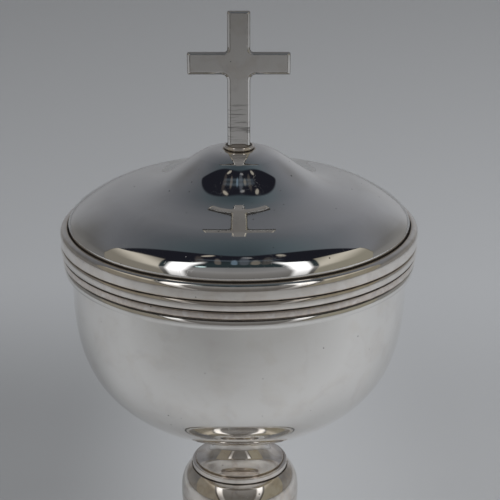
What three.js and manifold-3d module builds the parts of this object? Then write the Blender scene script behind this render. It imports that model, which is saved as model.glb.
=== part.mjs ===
import * as THREE from 'three';
import { mergeVertices } from 'three/addons/utils/BufferGeometryUtils.js';
import Module from 'manifold-3d';

// A ciborium: a covered silver cup on a knopped stem. Millimetres, +Z up, origin at the centre of
// the foot's underside. Every outline is a list of [radius, height] walked clockwise: down the
// outer face, then back up the inner one.

// Foot
const FOOT_RIM_RADIUS = 48.5;
const FOOT_RIM_WIDTH = 5.0;
const FOOT_RIM_HEIGHT = 4.5;
const FOOT_RIM_FILLET = 1.1;
const FILLET_CHORD_SHARE = 0.3;
const FOOT_EDGE_SETBACK = 2.6;
const FOOT_STEP_HEIGHT = 0.9;
const FOOT_SHOULDER_REACH = 20.8;
const FOOT_SHOULDER_RISE = 14.0;
const FOOT_SHOULDER_SLOPE = 0.25;
const FOOT_HEIGHT = 25.3;
const FOOT_NECK_SLOPE = 1.6;
const FOOT_SHOULDER_FULLNESS = 11.4;
const FOOT_EDGE_FULLNESS = 4.2;
const FOOT_SHEET = 1.2;

// Ring between foot and stem, with its edge bulged to the full radius
const FOOT_RING_HEIGHT = 3.2;
const FOOT_RING_RADIUS = 13.2;
const FOOT_RING_BULGE = 1.3;

// Lower stem
const STEM_LENGTH = 33.9;
const STEM_FOOT_RADIUS = 10.8;
const STEM_WAIST_RADIUS = 7.6;
const STEM_WAIST_HEIGHT = 18.5;
const STEM_UPPER_FULLNESS = 8.5;
const STEM_LOWER_FULLNESS = 9.2;
const STEM_FOOT_EASE = 3.0;
const STEM_FLARE_EASE = 0.3;
const STEM_WALL = 1.6;

// Knop and its two rings
const KNOP_RADIUS = 18.7;
const KNOP_HALF_HEIGHT = 9.025;
const KNOP_SIDE_EXPONENT = 2.2;
const KNOP_TOP_EXPONENT = 2.8;
const KNOP_SHEET = 1.3;
const KNOP_RING_RADIUS = 15.1;
const KNOP_RING_HEIGHT = 1.8;

// Neck and collar under the bowl
const COLLAR_RADIUS = 13.9;
const COLLAR_EDGE = 0.6;
const COLLAR_HEIGHT = 12.6;
const NECK_RADIUS = 7.2;
const NECK_STRAIGHT = 4.5;
const COLLAR_NECK_EASE = 0.54;
const COLLAR_SKIRT_SPREAD = 0.36;
const COLLAR_SKIRT_LIFT = 0.04;

// Bowl
const BOWL_RADIUS = 51.0;
const BOWL_DEPTH = 57.1;
const BOWL_FLAT_RADIUS = 7.6;
const BOWL_SIDE_EXPONENT = 1.57;
const BOWL_BASE_EXPONENT = 3.5;
const BOWL_STEP_EASING = 1.6;
const BOWL_SHEET = 1.1;

// Wire round the bowl's mouth, standing out from the bowl's side by its reach
const RIM_WIRE_REACH = 2.3;
const RIM_WIRE_HEIGHT = 3.4;
const RIM_WIRE_FILLET = 0.8;
const RIM_WIRE_LEAN = 0.3;
const RIM_WIRE_FOOT_HEIGHT = 0.8;
const RIM_WIRE_FOOT_WIDTH = 0.8;

// Cover: skirt, the mouldings that stand out from it by their reach, and bezel
const COVER_OVERHANG = 0.6;
const COVER_SHEET = 1.1;
const LOWER_BAND_REACH = 2.1;
const LOWER_BAND_HEIGHT = 3.2;
const LOWER_BAND_FILLET = 0.45;
const BEAD_REACH = 2.5;
const BEAD_HEIGHT = 2.7;
const BEAD_BULGE = 0.8;
const UPPER_BAND_REACH = 2.6;
const UPPER_BAND_HEIGHT = 5.8;
const UPPER_BAND_FOOT_FILLET = 0.5;
const UPPER_BAND_SHOULDER = 1.4;
const LEDGE_FALL = 0.5;
const BEZEL_SHEET = 1.0;
const BEZEL_DEPTH = 8.0;
const BEZEL_FLANGE_HEIGHT = 3.0;

// Cover: dome, with its slope between crown and foot, as [share of the skirt's radius, degrees]
const CROWN_RISE = 21.9;
const CROWN_FLAT_RADIUS = 5.2;
const DOME_SLOPE_ANGLES = [
  [0.228, 25.5],
  [0.24, 32],
  [0.33, 36],
  [0.423, 32],
  [0.475, 22.8],
  [0.54, 16],
  [0.6, 12.8],
  [0.7, 12],
  [0.77, 17.8],
  [0.84, 26],
  [0.946, 35.5],
  [0.98, 46],
  [1, 65],
];

// Cross and its seat
const SEAT_RADIUS = 4.75;
const SEAT_HEIGHT = 1.2;
const SEAT_FILLET = 0.5;
const CROSS_HEIGHT = 40.2;
const CROSS_SPAN = 30.3;
const CROSS_BAR = 6.7;
const CROSS_ARM_BAR = 6.4;
const CROSS_ARM_TOP = 12.2;
const CROSS_THICKNESS = 3.3;
const CROSS_BEVEL = 0.8;
const CROSS_UPPER_FILLET = 1.0;
const CROSS_LOWER_FILLET = 1.8;

// Stud, washer and nut inside the crown
const STUD_RADIUS = 1.5;
const STUD_LENGTH = 5.0;
const CROSS_WASHER_RADIUS = 4.2;
const CROSS_WASHER_HEIGHT = 0.8;
const CROSS_NUT_ACROSS_FLATS = 5.5;
const CROSS_NUT_HEIGHT = 2.4;

// Tie rod, boss, washer and nut
const TIE_ROD_RADIUS = 3.0;
const TIE_ROD_TAIL = 2.4;
const BOSS_RADIUS = 5.2;
const BOSS_LENGTH = 9.1;
const BOSS_WEB = 1.6;
const FOOT_WASHER_RADIUS = 8.4;
const FOOT_WASHER_HEIGHT = 1.2;
const FOOT_NUT_ACROSS_FLATS = 10.0;
const FOOT_NUT_HEIGHT = 5.2;

// Clearances
const SOLDER_GAP = 0.1;
const BEZEL_CLEARANCE = 0.3;
const ROD_CLEARANCE = 0.2;
const THREAD_CLEARANCE = 0.1;
const END_CLEARANCE = 0.3;

// Facets of a full turn, the same on all pieces that fit round each other
const FACETS = 40;
const FASTENER_FACETS = 20;

// Heights of the joints between the stacked pieces
const FOOT_TOP = FOOT_RIM_HEIGHT + FOOT_HEIGHT;
const STEM_BASE = FOOT_TOP + FOOT_RING_HEIGHT;
const LOWER_RING_BASE = STEM_BASE + STEM_LENGTH;
const KNOP_BASE = LOWER_RING_BASE + KNOP_RING_HEIGHT;
const KNOP_SEAM = KNOP_BASE + KNOP_HALF_HEIGHT;
const UPPER_RING_BASE = KNOP_SEAM + KNOP_HALF_HEIGHT;
const COLLAR_BASE = UPPER_RING_BASE + KNOP_RING_HEIGHT;
const BOWL_BASE = COLLAR_BASE + COLLAR_HEIGHT;
const BOWL_MOUTH = BOWL_BASE + BOWL_DEPTH;
const BEAD_BASE = BOWL_MOUTH + LOWER_BAND_HEIGHT;
const UPPER_BAND_BASE = BEAD_BASE + BEAD_HEIGHT;
const LEDGE_TOP = UPPER_BAND_BASE + UPPER_BAND_HEIGHT;
const CROWN_TOP = LEDGE_TOP + CROWN_RISE;
const CROSS_BASE = CROWN_TOP + SEAT_HEIGHT;

// Heights of the washers and nuts, which bear under the foot's top and under the crown
const FOOT_WASHER_BASE = FOOT_TOP - FOOT_SHEET - FOOT_WASHER_HEIGHT;
const FOOT_NUT_BASE = FOOT_WASHER_BASE - FOOT_NUT_HEIGHT;
const CROSS_WASHER_BASE = CROWN_TOP - COVER_SHEET - CROSS_WASHER_HEIGHT;
const CROSS_NUT_BASE = CROSS_WASHER_BASE - CROSS_NUT_HEIGHT;

// Radii that mating pieces share
const FOOT_RADIUS = FOOT_RIM_RADIUS - FOOT_EDGE_SETBACK;
const SKIRT_RADIUS = BOWL_RADIUS + COVER_OVERHANG;
const RIM_WIRE_RADIUS = BOWL_RADIUS + RIM_WIRE_REACH;
const LOWER_BAND_RADIUS = SKIRT_RADIUS + LOWER_BAND_REACH;
const BEAD_RADIUS = SKIRT_RADIUS + BEAD_REACH;
const UPPER_BAND_RADIUS = SKIRT_RADIUS + UPPER_BAND_REACH;
const FOOT_RING_EDGE_RADIUS = FOOT_RING_RADIUS - FOOT_RING_BULGE;
const ROD_HOLE = TIE_ROD_RADIUS + ROD_CLEARANCE;
const STUD_HOLE = STUD_RADIUS + ROD_CLEARANCE;

const SILVER = 0xb9b8b4;
const SHADED_SILVER = 0x8f8e8b;
const STEEL = 0x84847f;

// The outline swept once round the Z axis; one that doesn't start on the axis closes on itself.
function revolve(outline, facets = FACETS) {
  const points = outline.map(([radius, height]) => new THREE.Vector2(radius, height));
  if (outline[0][0] > 0) points.push(points[0].clone());
  const geometry = new THREE.LatheGeometry(points.reverse(), facets);
  return geometry.rotateX(Math.PI / 2);
}

// Points along a curve through the given [radius, height] control points.
function bend(steps, ...controls) {
  const [a, b, c, d] = controls.map(([radius, height]) => new THREE.Vector2(radius, height));
  const curve = d ? new THREE.CubicBezierCurve(a, b, c, d) : new THREE.QuadraticBezierCurve(a, b, c);
  return curve.getPoints(steps).map((point) => [point.x, point.y]);
}

// The point where two slanted lines meet, each through a point with a fall per unit of radius.
function meet([radiusA, heightA], fallA, [radiusB, heightB], fallB) {
  const radius = (heightA - heightB + fallA * radiusA - fallB * radiusB) / (fallA - fallB);
  return [radius, heightA - fallA * (radius - radiusA)];
}

// The outline moved inwards by the sheet's wall, with mitred corners.
function inset(outline, wall) {
  const sharpCornerLimit = 1.5;
  const points = outline.map(([radius, height]) => new THREE.Vector2(radius, height));
  return points.map((point, index) => {
    const before = points[Math.max(index - 1, 0)];
    const after = points[Math.min(index + 1, points.length - 1)];
    const arriving = point.clone().sub(before).normalize();
    const leaving = after.clone().sub(point).normalize();
    const normalIn = new THREE.Vector2(arriving.y, -arriving.x);
    const normalOut = new THREE.Vector2(leaving.y, -leaving.x);
    const normal = normalIn.add(normalOut);
    const reach = normal.length() > sharpCornerLimit ? (2 * wall) / normal.lengthSq() : wall / normal.length();
    return [point.x + normal.x * reach, point.y + normal.y * reach];
  });
}

// A sheet's full outline, from an outer face and a coarser copy of it for the inner one.
function sheet(outlineAt, wall, outerSteps, innerSteps) {
  return [...outlineAt(outerSteps), ...inset(outlineAt(innerSteps), wall).reverse()];
}

// A flat ring or plain bush.
function ring(innerRadius, outerRadius, base, height, facets = FACETS) {
  const top = base + height;
  return revolve([[innerRadius, top], [outerRadius, top], [outerRadius, base], [innerRadius, base]], facets);
}

// A bulged edge between two radii of the same height, as a half ellipse walked downwards.
function bulgedEdge(edgeRadius, bulge, base, height, steps) {
  const points = [];
  for (let step = 0; step <= steps; step += 1) {
    const angle = Math.PI * (0.5 - step / steps);
    points.push([edgeRadius + bulge * Math.cos(angle), base + (height / 2) * (1 + Math.sin(angle))]);
  }
  return points;
}

function footRimMoulding() {
  const top = FOOT_RIM_HEIGHT;
  const outer = FOOT_RIM_RADIUS;
  const inner = FOOT_RIM_RADIUS - FOOT_RIM_WIDTH;
  return revolve([
    [inner, top],
    [outer - FOOT_RIM_FILLET, top],
    [outer - FILLET_CHORD_SHARE * FOOT_RIM_FILLET, top - FILLET_CHORD_SHARE * FOOT_RIM_FILLET],
    [outer, top - FOOT_RIM_FILLET],
    [outer, 0],
    [inner, 0],
  ]);
}

function footOutline(steps) {
  const edge = [FOOT_RADIUS, FOOT_RIM_HEIGHT + FOOT_STEP_HEIGHT];
  const shoulder = [FOOT_RADIUS - FOOT_SHOULDER_REACH, FOOT_RIM_HEIGHT + FOOT_SHOULDER_RISE];
  const neck = [FOOT_RING_EDGE_RADIUS, FOOT_TOP];
  const valley = meet(shoulder, FOOT_SHOULDER_SLOPE, neck, FOOT_NECK_SLOPE);
  const full = FOOT_SHOULDER_FULLNESS;
  const upperHandle = [shoulder[0] + full, shoulder[1] - full * FOOT_SHOULDER_SLOPE];
  const lowerHandle = [edge[0], edge[1] + FOOT_EDGE_FULLNESS];
  return [
    [ROD_HOLE, FOOT_TOP],
    ...bend(steps, neck, valley, shoulder),
    ...bend(steps, shoulder, upperHandle, lowerHandle, edge).slice(1),
    [FOOT_RADIUS, FOOT_RIM_HEIGHT],
  ];
}

function foot() {
  return revolve(sheet(footOutline, FOOT_SHEET, 6, 4));
}

function stemFootRing() {
  return revolve([
    [ROD_HOLE, STEM_BASE],
    ...bulgedEdge(FOOT_RING_EDGE_RADIUS, FOOT_RING_BULGE, FOOT_TOP, FOOT_RING_HEIGHT, 4),
    [ROD_HOLE, FOOT_TOP],
  ]);
}

function stemOutline(steps) {
  const top = [COLLAR_RADIUS, LOWER_RING_BASE];
  const lip = [COLLAR_RADIUS, LOWER_RING_BASE - COLLAR_EDGE];
  const waist = [STEM_WAIST_RADIUS, STEM_BASE + STEM_WAIST_HEIGHT];
  const lipSpread = COLLAR_RADIUS - STEM_WAIST_RADIUS;
  const footSpread = STEM_FOOT_RADIUS - STEM_WAIST_RADIUS;
  const underLip = [STEM_WAIST_RADIUS + STEM_FLARE_EASE * lipSpread, lip[1]];
  const aboveWaist = [STEM_WAIST_RADIUS, waist[1] + STEM_UPPER_FULLNESS];
  const belowWaist = [STEM_WAIST_RADIUS, waist[1] - STEM_LOWER_FULLNESS];
  const aboveFoot = [STEM_WAIST_RADIUS + STEM_FLARE_EASE * footSpread, STEM_BASE + STEM_FOOT_EASE];
  const base = [STEM_FOOT_RADIUS, STEM_BASE];
  return [
    top,
    ...bend(steps, lip, underLip, aboveWaist, waist),
    ...bend(steps - 1, waist, belowWaist, aboveFoot, base).slice(1),
  ];
}

function lowerStem() {
  const bore = STEM_WAIST_RADIUS - STEM_WALL;
  return revolve([[bore, LOWER_RING_BASE], ...stemOutline(6), [bore, STEM_BASE]]);
}

function knopRing(base) {
  return ring(ROD_HOLE, KNOP_RING_RADIUS, base, KNOP_RING_HEIGHT);
}

// Half of the knop's outline, part of a superellipse, from the seam to the end that meets a ring.
function knopQuarter(steps, sign) {
  const end = Math.acos((KNOP_RING_RADIUS / KNOP_RADIUS) ** (KNOP_SIDE_EXPONENT / 2));
  const fullRise = KNOP_HALF_HEIGHT / Math.sin(end) ** (2 / KNOP_TOP_EXPONENT);
  const points = [];
  for (let step = 0; step <= steps; step += 1) {
    const angle = end * (step / steps) ** (KNOP_TOP_EXPONENT / 2);
    const radius = KNOP_RADIUS * Math.cos(angle) ** (2 / KNOP_SIDE_EXPONENT);
    const rise = fullRise * Math.sin(angle) ** (2 / KNOP_TOP_EXPONENT);
    points.push([radius, KNOP_SEAM + sign * rise]);
  }
  return points;
}

// The wall's ends are cut level, so each half meets its ring and the other half face to face.
function knopHalf(sign) {
  const outer = knopQuarter(5, sign);
  const inner = knopQuarter(3, sign).map(([radius, height]) => [radius - KNOP_SHEET, height]);
  return sign > 0 ? revolve([...outer.reverse(), ...inner]) : revolve([...outer, ...inner.reverse()]);
}

function collarOutline(steps) {
  const neck = [NECK_RADIUS, BOWL_BASE - NECK_STRAIGHT];
  const lip = [COLLAR_RADIUS, COLLAR_BASE + COLLAR_EDGE];
  const flare = neck[1] - lip[1];
  const spread = COLLAR_RADIUS - NECK_RADIUS;
  const upperHandle = [NECK_RADIUS, neck[1] - flare * COLLAR_NECK_EASE];
  const lowerHandle = [NECK_RADIUS + spread * COLLAR_SKIRT_SPREAD, lip[1] + flare * COLLAR_SKIRT_LIFT];
  return bend(steps, neck, upperHandle, lowerHandle, lip);
}

function stemCollar() {
  const bossBore = BOSS_RADIUS + ROD_CLEARANCE;
  const boreFloor = BOWL_BASE - BOSS_LENGTH - END_CLEARANCE;
  return revolve([
    [bossBore, BOWL_BASE],
    [NECK_RADIUS, BOWL_BASE],
    ...collarOutline(6),
    [COLLAR_RADIUS, COLLAR_BASE],
    [ROD_HOLE, COLLAR_BASE],
    [ROD_HOLE, boreFloor],
    [bossBore, boreFloor],
  ]);
}

// The bowl's side as part of a superellipse, from the mouth to its flat base, with the steps
// closer together near the mouth, where the wall is almost straight.
function bowlOutline(steps) {
  const points = [];
  for (let step = 0; step <= steps; step += 1) {
    const angle = (Math.PI / 2) * (step / steps) ** BOWL_STEP_EASING;
    const spread = Math.max(Math.cos(angle), 0) ** (2 / BOWL_SIDE_EXPONENT);
    const fall = Math.sin(angle) ** (2 / BOWL_BASE_EXPONENT);
    const radius = BOWL_FLAT_RADIUS + (BOWL_RADIUS - BOWL_FLAT_RADIUS) * spread;
    points.push([radius, BOWL_MOUTH - BOWL_DEPTH * fall]);
  }
  points[steps] = [BOWL_FLAT_RADIUS, BOWL_BASE];
  return points;
}

function bowl() {
  const inner = inset(bowlOutline(9), BOWL_SHEET);
  inner[0] = [BOWL_RADIUS - BOWL_SHEET, BOWL_MOUTH];
  inner[inner.length - 1] = [BOWL_FLAT_RADIUS, BOWL_BASE + BOWL_SHEET];
  return revolve([
    [0, BOWL_BASE + BOWL_SHEET],
    ...inner.reverse(),
    ...bowlOutline(12),
    [0, BOWL_BASE],
  ]);
}

function bowlBoss() {
  const base = BOWL_BASE - BOSS_LENGTH;
  const bore = TIE_ROD_RADIUS + THREAD_CLEARANCE;
  return revolve([
    [0, BOWL_BASE],
    [BOSS_RADIUS, BOWL_BASE],
    [BOSS_RADIUS, base],
    [bore, base],
    [bore, BOWL_BASE - BOSS_WEB],
    [0, BOWL_BASE - BOSS_WEB],
  ], FASTENER_FACETS);
}

function bowlRimWire() {
  const inner = BOWL_RADIUS + SOLDER_GAP;
  const base = BOWL_MOUTH - RIM_WIRE_HEIGHT;
  const foot = inner + RIM_WIRE_FOOT_WIDTH;
  const underside = base + RIM_WIRE_FOOT_HEIGHT;
  return revolve([
    [inner, BOWL_MOUTH],
    [RIM_WIRE_RADIUS - RIM_WIRE_FILLET, BOWL_MOUTH],
    [RIM_WIRE_RADIUS, BOWL_MOUTH - RIM_WIRE_FILLET],
    [RIM_WIRE_RADIUS - RIM_WIRE_LEAN, underside],
    [foot, underside],
    [foot, base],
    [inner, base],
  ]);
}

function coverLowerBand() {
  const inner = SKIRT_RADIUS + SOLDER_GAP;
  return revolve([
    [inner, BEAD_BASE],
    [LOWER_BAND_RADIUS - LOWER_BAND_FILLET, BEAD_BASE],
    [LOWER_BAND_RADIUS, BEAD_BASE - LOWER_BAND_FILLET],
    [LOWER_BAND_RADIUS, BOWL_MOUTH + LOWER_BAND_FILLET],
    [LOWER_BAND_RADIUS - LOWER_BAND_FILLET, BOWL_MOUTH],
    [inner, BOWL_MOUTH],
  ]);
}

function coverBead() {
  const inner = SKIRT_RADIUS + SOLDER_GAP;
  const edge = BEAD_RADIUS - BEAD_BULGE;
  return revolve([
    [inner, UPPER_BAND_BASE],
    ...bulgedEdge(edge, BEAD_BULGE, BEAD_BASE, BEAD_HEIGHT, 4),
    [inner, BEAD_BASE],
  ]);
}

function coverUpperBand() {
  const inner = SKIRT_RADIUS + SOLDER_GAP;
  const shoulderTop = LEDGE_TOP - LEDGE_FALL;
  const shoulder = UPPER_BAND_RADIUS - UPPER_BAND_SHOULDER;
  return revolve([
    [inner, LEDGE_TOP],
    ...bend(3, [shoulder, shoulderTop], [UPPER_BAND_RADIUS, shoulderTop],
      [UPPER_BAND_RADIUS, shoulderTop - UPPER_BAND_SHOULDER]),
    [UPPER_BAND_RADIUS, UPPER_BAND_BASE + UPPER_BAND_FOOT_FILLET],
    [UPPER_BAND_RADIUS - UPPER_BAND_FOOT_FILLET, UPPER_BAND_BASE],
    [inner, UPPER_BAND_BASE],
  ]);
}

// From the stud's hole over the crown, boss and shoulder to the foot of the skirt. The slope changes steadily
// from each given place to the next, and the whole fall is fitted to the crown's rise.
function domeOutline(steps) {
  const crown = [CROWN_FLAT_RADIUS, 0];
  const places = [crown, ...DOME_SLOPE_ANGLES.map(([share, slope]) => [share * SKIRT_RADIUS, slope])];
  const falls = places.map((place) => Math.tan((place[1] * Math.PI) / 180));
  const curve = [crown];
  for (let index = 1; index < places.length; index += 1) {
    const [start, reached] = curve[curve.length - 1];
    const run = places[index][0] - start;
    for (let step = 1; step <= steps; step += 1) {
      const part = step / steps;
      const meanFall = falls[index - 1] + ((falls[index] - falls[index - 1]) * part) / 2;
      curve.push([start + run * part, reached + meanFall * run * part]);
    }
  }
  const fit = CROWN_RISE / curve[curve.length - 1][1];
  return [
    [STUD_HOLE, CROWN_TOP],
    ...curve.map(([radius, fall]) => [radius, CROWN_TOP - fall * fit]),
    [SKIRT_RADIUS, BOWL_MOUTH],
  ];
}

function coverDome() {
  return revolve(sheet(domeOutline, COVER_SHEET, 2, 1));
}

function coverBezel() {
  const outer = BOWL_RADIUS - BOWL_SHEET - BEZEL_CLEARANCE;
  const inner = outer - BEZEL_SHEET;
  const flange = SKIRT_RADIUS - COVER_SHEET - SOLDER_GAP;
  const top = BOWL_MOUTH + BEZEL_FLANGE_HEIGHT;
  const underFlange = top - BEZEL_SHEET;
  return revolve([
    [inner, top],
    [flange, top],
    [flange, underFlange],
    [outer, underFlange],
    [outer, BOWL_MOUTH - BEZEL_DEPTH],
    [inner, BOWL_MOUTH - BEZEL_DEPTH],
  ]);
}

function crossSeat() {
  return revolve([
    [0, CROSS_BASE],
    [SEAT_RADIUS - SEAT_FILLET, CROSS_BASE],
    [SEAT_RADIUS, CROSS_BASE - SEAT_FILLET],
    [SEAT_RADIUS, CROWN_TOP],
    [0, CROWN_TOP],
  ]);
}

// The cross seen from the front, with rounded inner corners; its foot runs below the seat's top
// by the bevel, so that it can be trimmed square.
function crossShape() {
  const half = CROSS_BAR / 2;
  const reach = CROSS_SPAN / 2;
  const top = CROSS_BASE + CROSS_HEIGHT;
  const armTop = top - CROSS_ARM_TOP;
  const armFoot = armTop - CROSS_ARM_BAR;
  const base = CROSS_BASE - 2 * CROSS_BEVEL;
  const upper = CROSS_UPPER_FILLET;
  const lower = CROSS_LOWER_FILLET;
  const shape = new THREE.Shape();
  shape.moveTo(-half, base);
  shape.lineTo(half, base);
  shape.lineTo(half, armFoot - lower);
  shape.absarc(half + lower, armFoot - lower, lower, Math.PI, Math.PI / 2, true);
  shape.lineTo(reach, armFoot);
  shape.lineTo(reach, armTop);
  shape.lineTo(half + upper, armTop);
  shape.absarc(half + upper, armTop + upper, upper, -Math.PI / 2, -Math.PI, true);
  shape.lineTo(half, top);
  shape.lineTo(-half, top);
  shape.lineTo(-half, armTop + upper);
  shape.absarc(-half - upper, armTop + upper, upper, 0, -Math.PI / 2, true);
  shape.lineTo(-reach, armTop);
  shape.lineTo(-reach, armFoot);
  shape.lineTo(-half - lower, armFoot);
  shape.absarc(-half - lower, armFoot - lower, lower, Math.PI / 2, 0, true);
  return shape;
}

function crossPlate() {
  const plate = new THREE.ExtrudeGeometry(crossShape(), {
    depth: CROSS_THICKNESS - 2 * CROSS_BEVEL,
    bevelEnabled: true,
    bevelThickness: CROSS_BEVEL,
    bevelSize: CROSS_BEVEL,
    bevelOffset: -CROSS_BEVEL,
    bevelSegments: 1,
    curveSegments: 5,
  });
  plate.translate(0, 0, CROSS_BEVEL - CROSS_THICKNESS / 2);
  return plate.rotateX(Math.PI / 2);
}

const wasm = await Module();
wasm.setup();

function toSolid(geometry) {
  const bare = geometry.clone();
  bare.deleteAttribute('normal');
  bare.deleteAttribute('uv');
  const merged = mergeVertices(bare);
  const vertProperties = new Float32Array(merged.attributes.position.array);
  const triVerts = new Uint32Array(merged.index.array);
  return new wasm.Manifold(new wasm.Mesh({ numProp: 3, vertProperties, triVerts }));
}

function toGeometry(solid) {
  const { numProp, vertProperties, triVerts } = solid.getMesh();
  const positions = new Float32Array((vertProperties.length / numProp) * 3);
  for (let vertex = 0; vertex < positions.length / 3; vertex += 1) {
    positions.set(vertProperties.subarray(vertex * numProp, vertex * numProp + 3), vertex * 3);
  }
  const geometry = new THREE.BufferGeometry();
  geometry.setAttribute('position', new THREE.BufferAttribute(positions, 3));
  geometry.setIndex(Array.from(triVerts));
  geometry.computeVertexNormals();
  return geometry;
}

function cross() {
  const trimHeight = 4 * CROSS_BEVEL;
  const trim = new THREE.BoxGeometry(2 * CROSS_BAR, 2 * CROSS_THICKNESS, trimHeight);
  trim.translate(0, 0, CROSS_BASE - trimHeight / 2);
  return toGeometry(toSolid(crossPlate()).subtract(toSolid(trim)));
}

function crossStud() {
  const base = CROWN_TOP - STUD_LENGTH;
  return revolve([[0, CROWN_TOP], [STUD_RADIUS, CROWN_TOP], [STUD_RADIUS, base], [0, base]], FASTENER_FACETS);
}

function hexNut(acrossFlats, boreRadius, base, height) {
  const shape = new THREE.Shape();
  const corner = acrossFlats / Math.sqrt(3);
  for (let side = 0; side < 6; side += 1) {
    const angle = (Math.PI / 3) * side;
    const place = [corner * Math.cos(angle), corner * Math.sin(angle)];
    if (side === 0) shape.moveTo(...place);
    else shape.lineTo(...place);
  }
  shape.closePath();
  const bore = new THREE.Path();
  bore.absarc(0, 0, boreRadius, 0, 2 * Math.PI, true);
  shape.holes.push(bore);
  const options = { depth: height, bevelEnabled: false, curveSegments: FASTENER_FACETS };
  return new THREE.ExtrudeGeometry(shape, options).translate(0, 0, base);
}

function footWasher() {
  return ring(ROD_HOLE, FOOT_WASHER_RADIUS, FOOT_WASHER_BASE, FOOT_WASHER_HEIGHT, FASTENER_FACETS);
}

function footNut() {
  const bore = TIE_ROD_RADIUS + THREAD_CLEARANCE;
  return hexNut(FOOT_NUT_ACROSS_FLATS, bore, FOOT_NUT_BASE, FOOT_NUT_HEIGHT);
}

function crossWasher() {
  return ring(STUD_HOLE, CROSS_WASHER_RADIUS, CROSS_WASHER_BASE, CROSS_WASHER_HEIGHT, FASTENER_FACETS);
}

function crossNut() {
  const bore = STUD_RADIUS + THREAD_CLEARANCE;
  return hexNut(CROSS_NUT_ACROSS_FLATS, bore, CROSS_NUT_BASE, CROSS_NUT_HEIGHT);
}

function tieRod() {
  const base = FOOT_NUT_BASE - TIE_ROD_TAIL;
  const top = BOWL_BASE - BOSS_WEB - END_CLEARANCE;
  return revolve([[0, top], [TIE_ROD_RADIUS, top], [TIE_ROD_RADIUS, base], [0, base]], FASTENER_FACETS);
}

function piece(name, geometry, color = SILVER, roughness = 0.16) {
  const material = new THREE.MeshStandardMaterial({ color, roughness, metalness: 1.0 });
  const mesh = new THREE.Mesh(geometry, material);
  mesh.name = name;
  return mesh;
}

function buildCup() {
  const cup = new THREE.Group();
  cup.add(
    piece('foot_rim_moulding', footRimMoulding()),
    piece('foot', foot()),
    piece('stem_foot_ring', stemFootRing()),
    piece('lower_stem', lowerStem()),
    piece('knop_ring_lower', knopRing(LOWER_RING_BASE)),
    piece('knop_lower_half', knopHalf(-1)),
    piece('knop_upper_half', knopHalf(1)),
    piece('knop_ring_upper', knopRing(UPPER_RING_BASE)),
    piece('stem_collar', stemCollar()),
    piece('bowl', bowl(), SILVER, 0.22),
    piece('bowl_rim_wire', bowlRimWire()),
    piece('bowl_boss', bowlBoss(), SHADED_SILVER, 0.4),
    piece('tie_rod', tieRod(), STEEL, 0.45),
    piece('foot_washer', footWasher(), SHADED_SILVER, 0.4),
    piece('foot_nut', footNut(), STEEL, 0.4),
  );
  return cup;
}

function buildCover() {
  const cover = new THREE.Group();
  cover.add(
    piece('cover_dome', coverDome()),
    piece('cover_upper_band', coverUpperBand()),
    piece('cover_bead', coverBead()),
    piece('cover_lower_band', coverLowerBand()),
    piece('cover_bezel', coverBezel()),
    piece('cross_seat', crossSeat()),
    piece('cross', cross()),
    piece('cross_stud', crossStud(), SHADED_SILVER, 0.4),
    piece('cross_washer', crossWasher(), SHADED_SILVER, 0.4),
    piece('cross_nut', crossNut(), SHADED_SILVER, 0.4),
  );
  return cover;
}

const ciborium = new THREE.Group();
ciborium.add(buildCup(), buildCover());

export default ciborium;
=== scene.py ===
import math

import bmesh
import bpy
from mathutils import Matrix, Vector


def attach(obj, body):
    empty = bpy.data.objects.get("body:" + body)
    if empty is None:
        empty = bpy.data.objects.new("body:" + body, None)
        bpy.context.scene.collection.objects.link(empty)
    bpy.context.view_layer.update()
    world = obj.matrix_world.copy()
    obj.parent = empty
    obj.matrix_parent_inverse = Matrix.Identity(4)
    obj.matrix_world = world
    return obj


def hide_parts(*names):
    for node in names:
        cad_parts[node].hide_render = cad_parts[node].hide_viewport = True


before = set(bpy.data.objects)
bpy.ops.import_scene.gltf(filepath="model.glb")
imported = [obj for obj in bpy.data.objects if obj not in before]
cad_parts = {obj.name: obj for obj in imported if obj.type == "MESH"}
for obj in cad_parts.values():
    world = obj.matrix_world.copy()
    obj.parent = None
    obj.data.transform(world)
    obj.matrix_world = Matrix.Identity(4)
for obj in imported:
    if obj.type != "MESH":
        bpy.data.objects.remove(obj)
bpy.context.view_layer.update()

MM = 0.001

# Heights of the joints between the stacked pieces, in millimetres above the foot's underside
FOOT_RIM_TOP = 4.5
FOOT_TOP = 29.8
STEM_BASE = 33.0
LOWER_RING_BASE = 66.9
KNOP_BASE = 68.7
KNOP_SEAM = 77.725
UPPER_RING_BASE = 86.75
COLLAR_BASE = 88.55
BOWL_BASE = 101.15
BOWL_MOUTH = 158.25
BEAD_BASE = 161.0
UPPER_BAND_BASE = 164.15
DOME_FOOT = 169.95
LEDGE_TOP = DOME_FOOT - 1.1
CROWN_TOP = 191.85
CROSS_BASE = 193.05

# Walls, gaps and holes, in millimetres
DOME_SHEET = 1.1
BOWL_SHEET = 1.1
KNOP_SHEET = 1.3
FOOT_SHEET = 1.2
SOLDER_GAP = 0.1
ROD_HOLE = 3.2
STUD_HOLE = 1.7

# The cover
SKIRT_RADIUS = 51.6
BAND_BORE = SKIRT_RADIUS + SOLDER_GAP
CROWN_FLAT_RADIUS = 5.2
LEDGE_RADIUS = 52.1
UPPER_BAND_RADIUS = 54.18
BEAD_RADIUS = 53.3
BEAD_BULGE = 0.8
LOWER_BAND_RADIUS = 53.7
LOWER_BAND_FOOT_RADIUS = 52.9
BEZEL_BORE = 48.6
BEZEL_RADIUS = 49.6
BEZEL_FLANGE_RADIUS = 50.4
BEZEL_DEPTH = 8.0
SEAT_RADIUS = 4.4
STUD_RADIUS = 1.5
STUD_LENGTH = 5.0
CROSS_WASHER_BASE = 189.95
CROSS_NUT_BASE = 187.55

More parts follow.
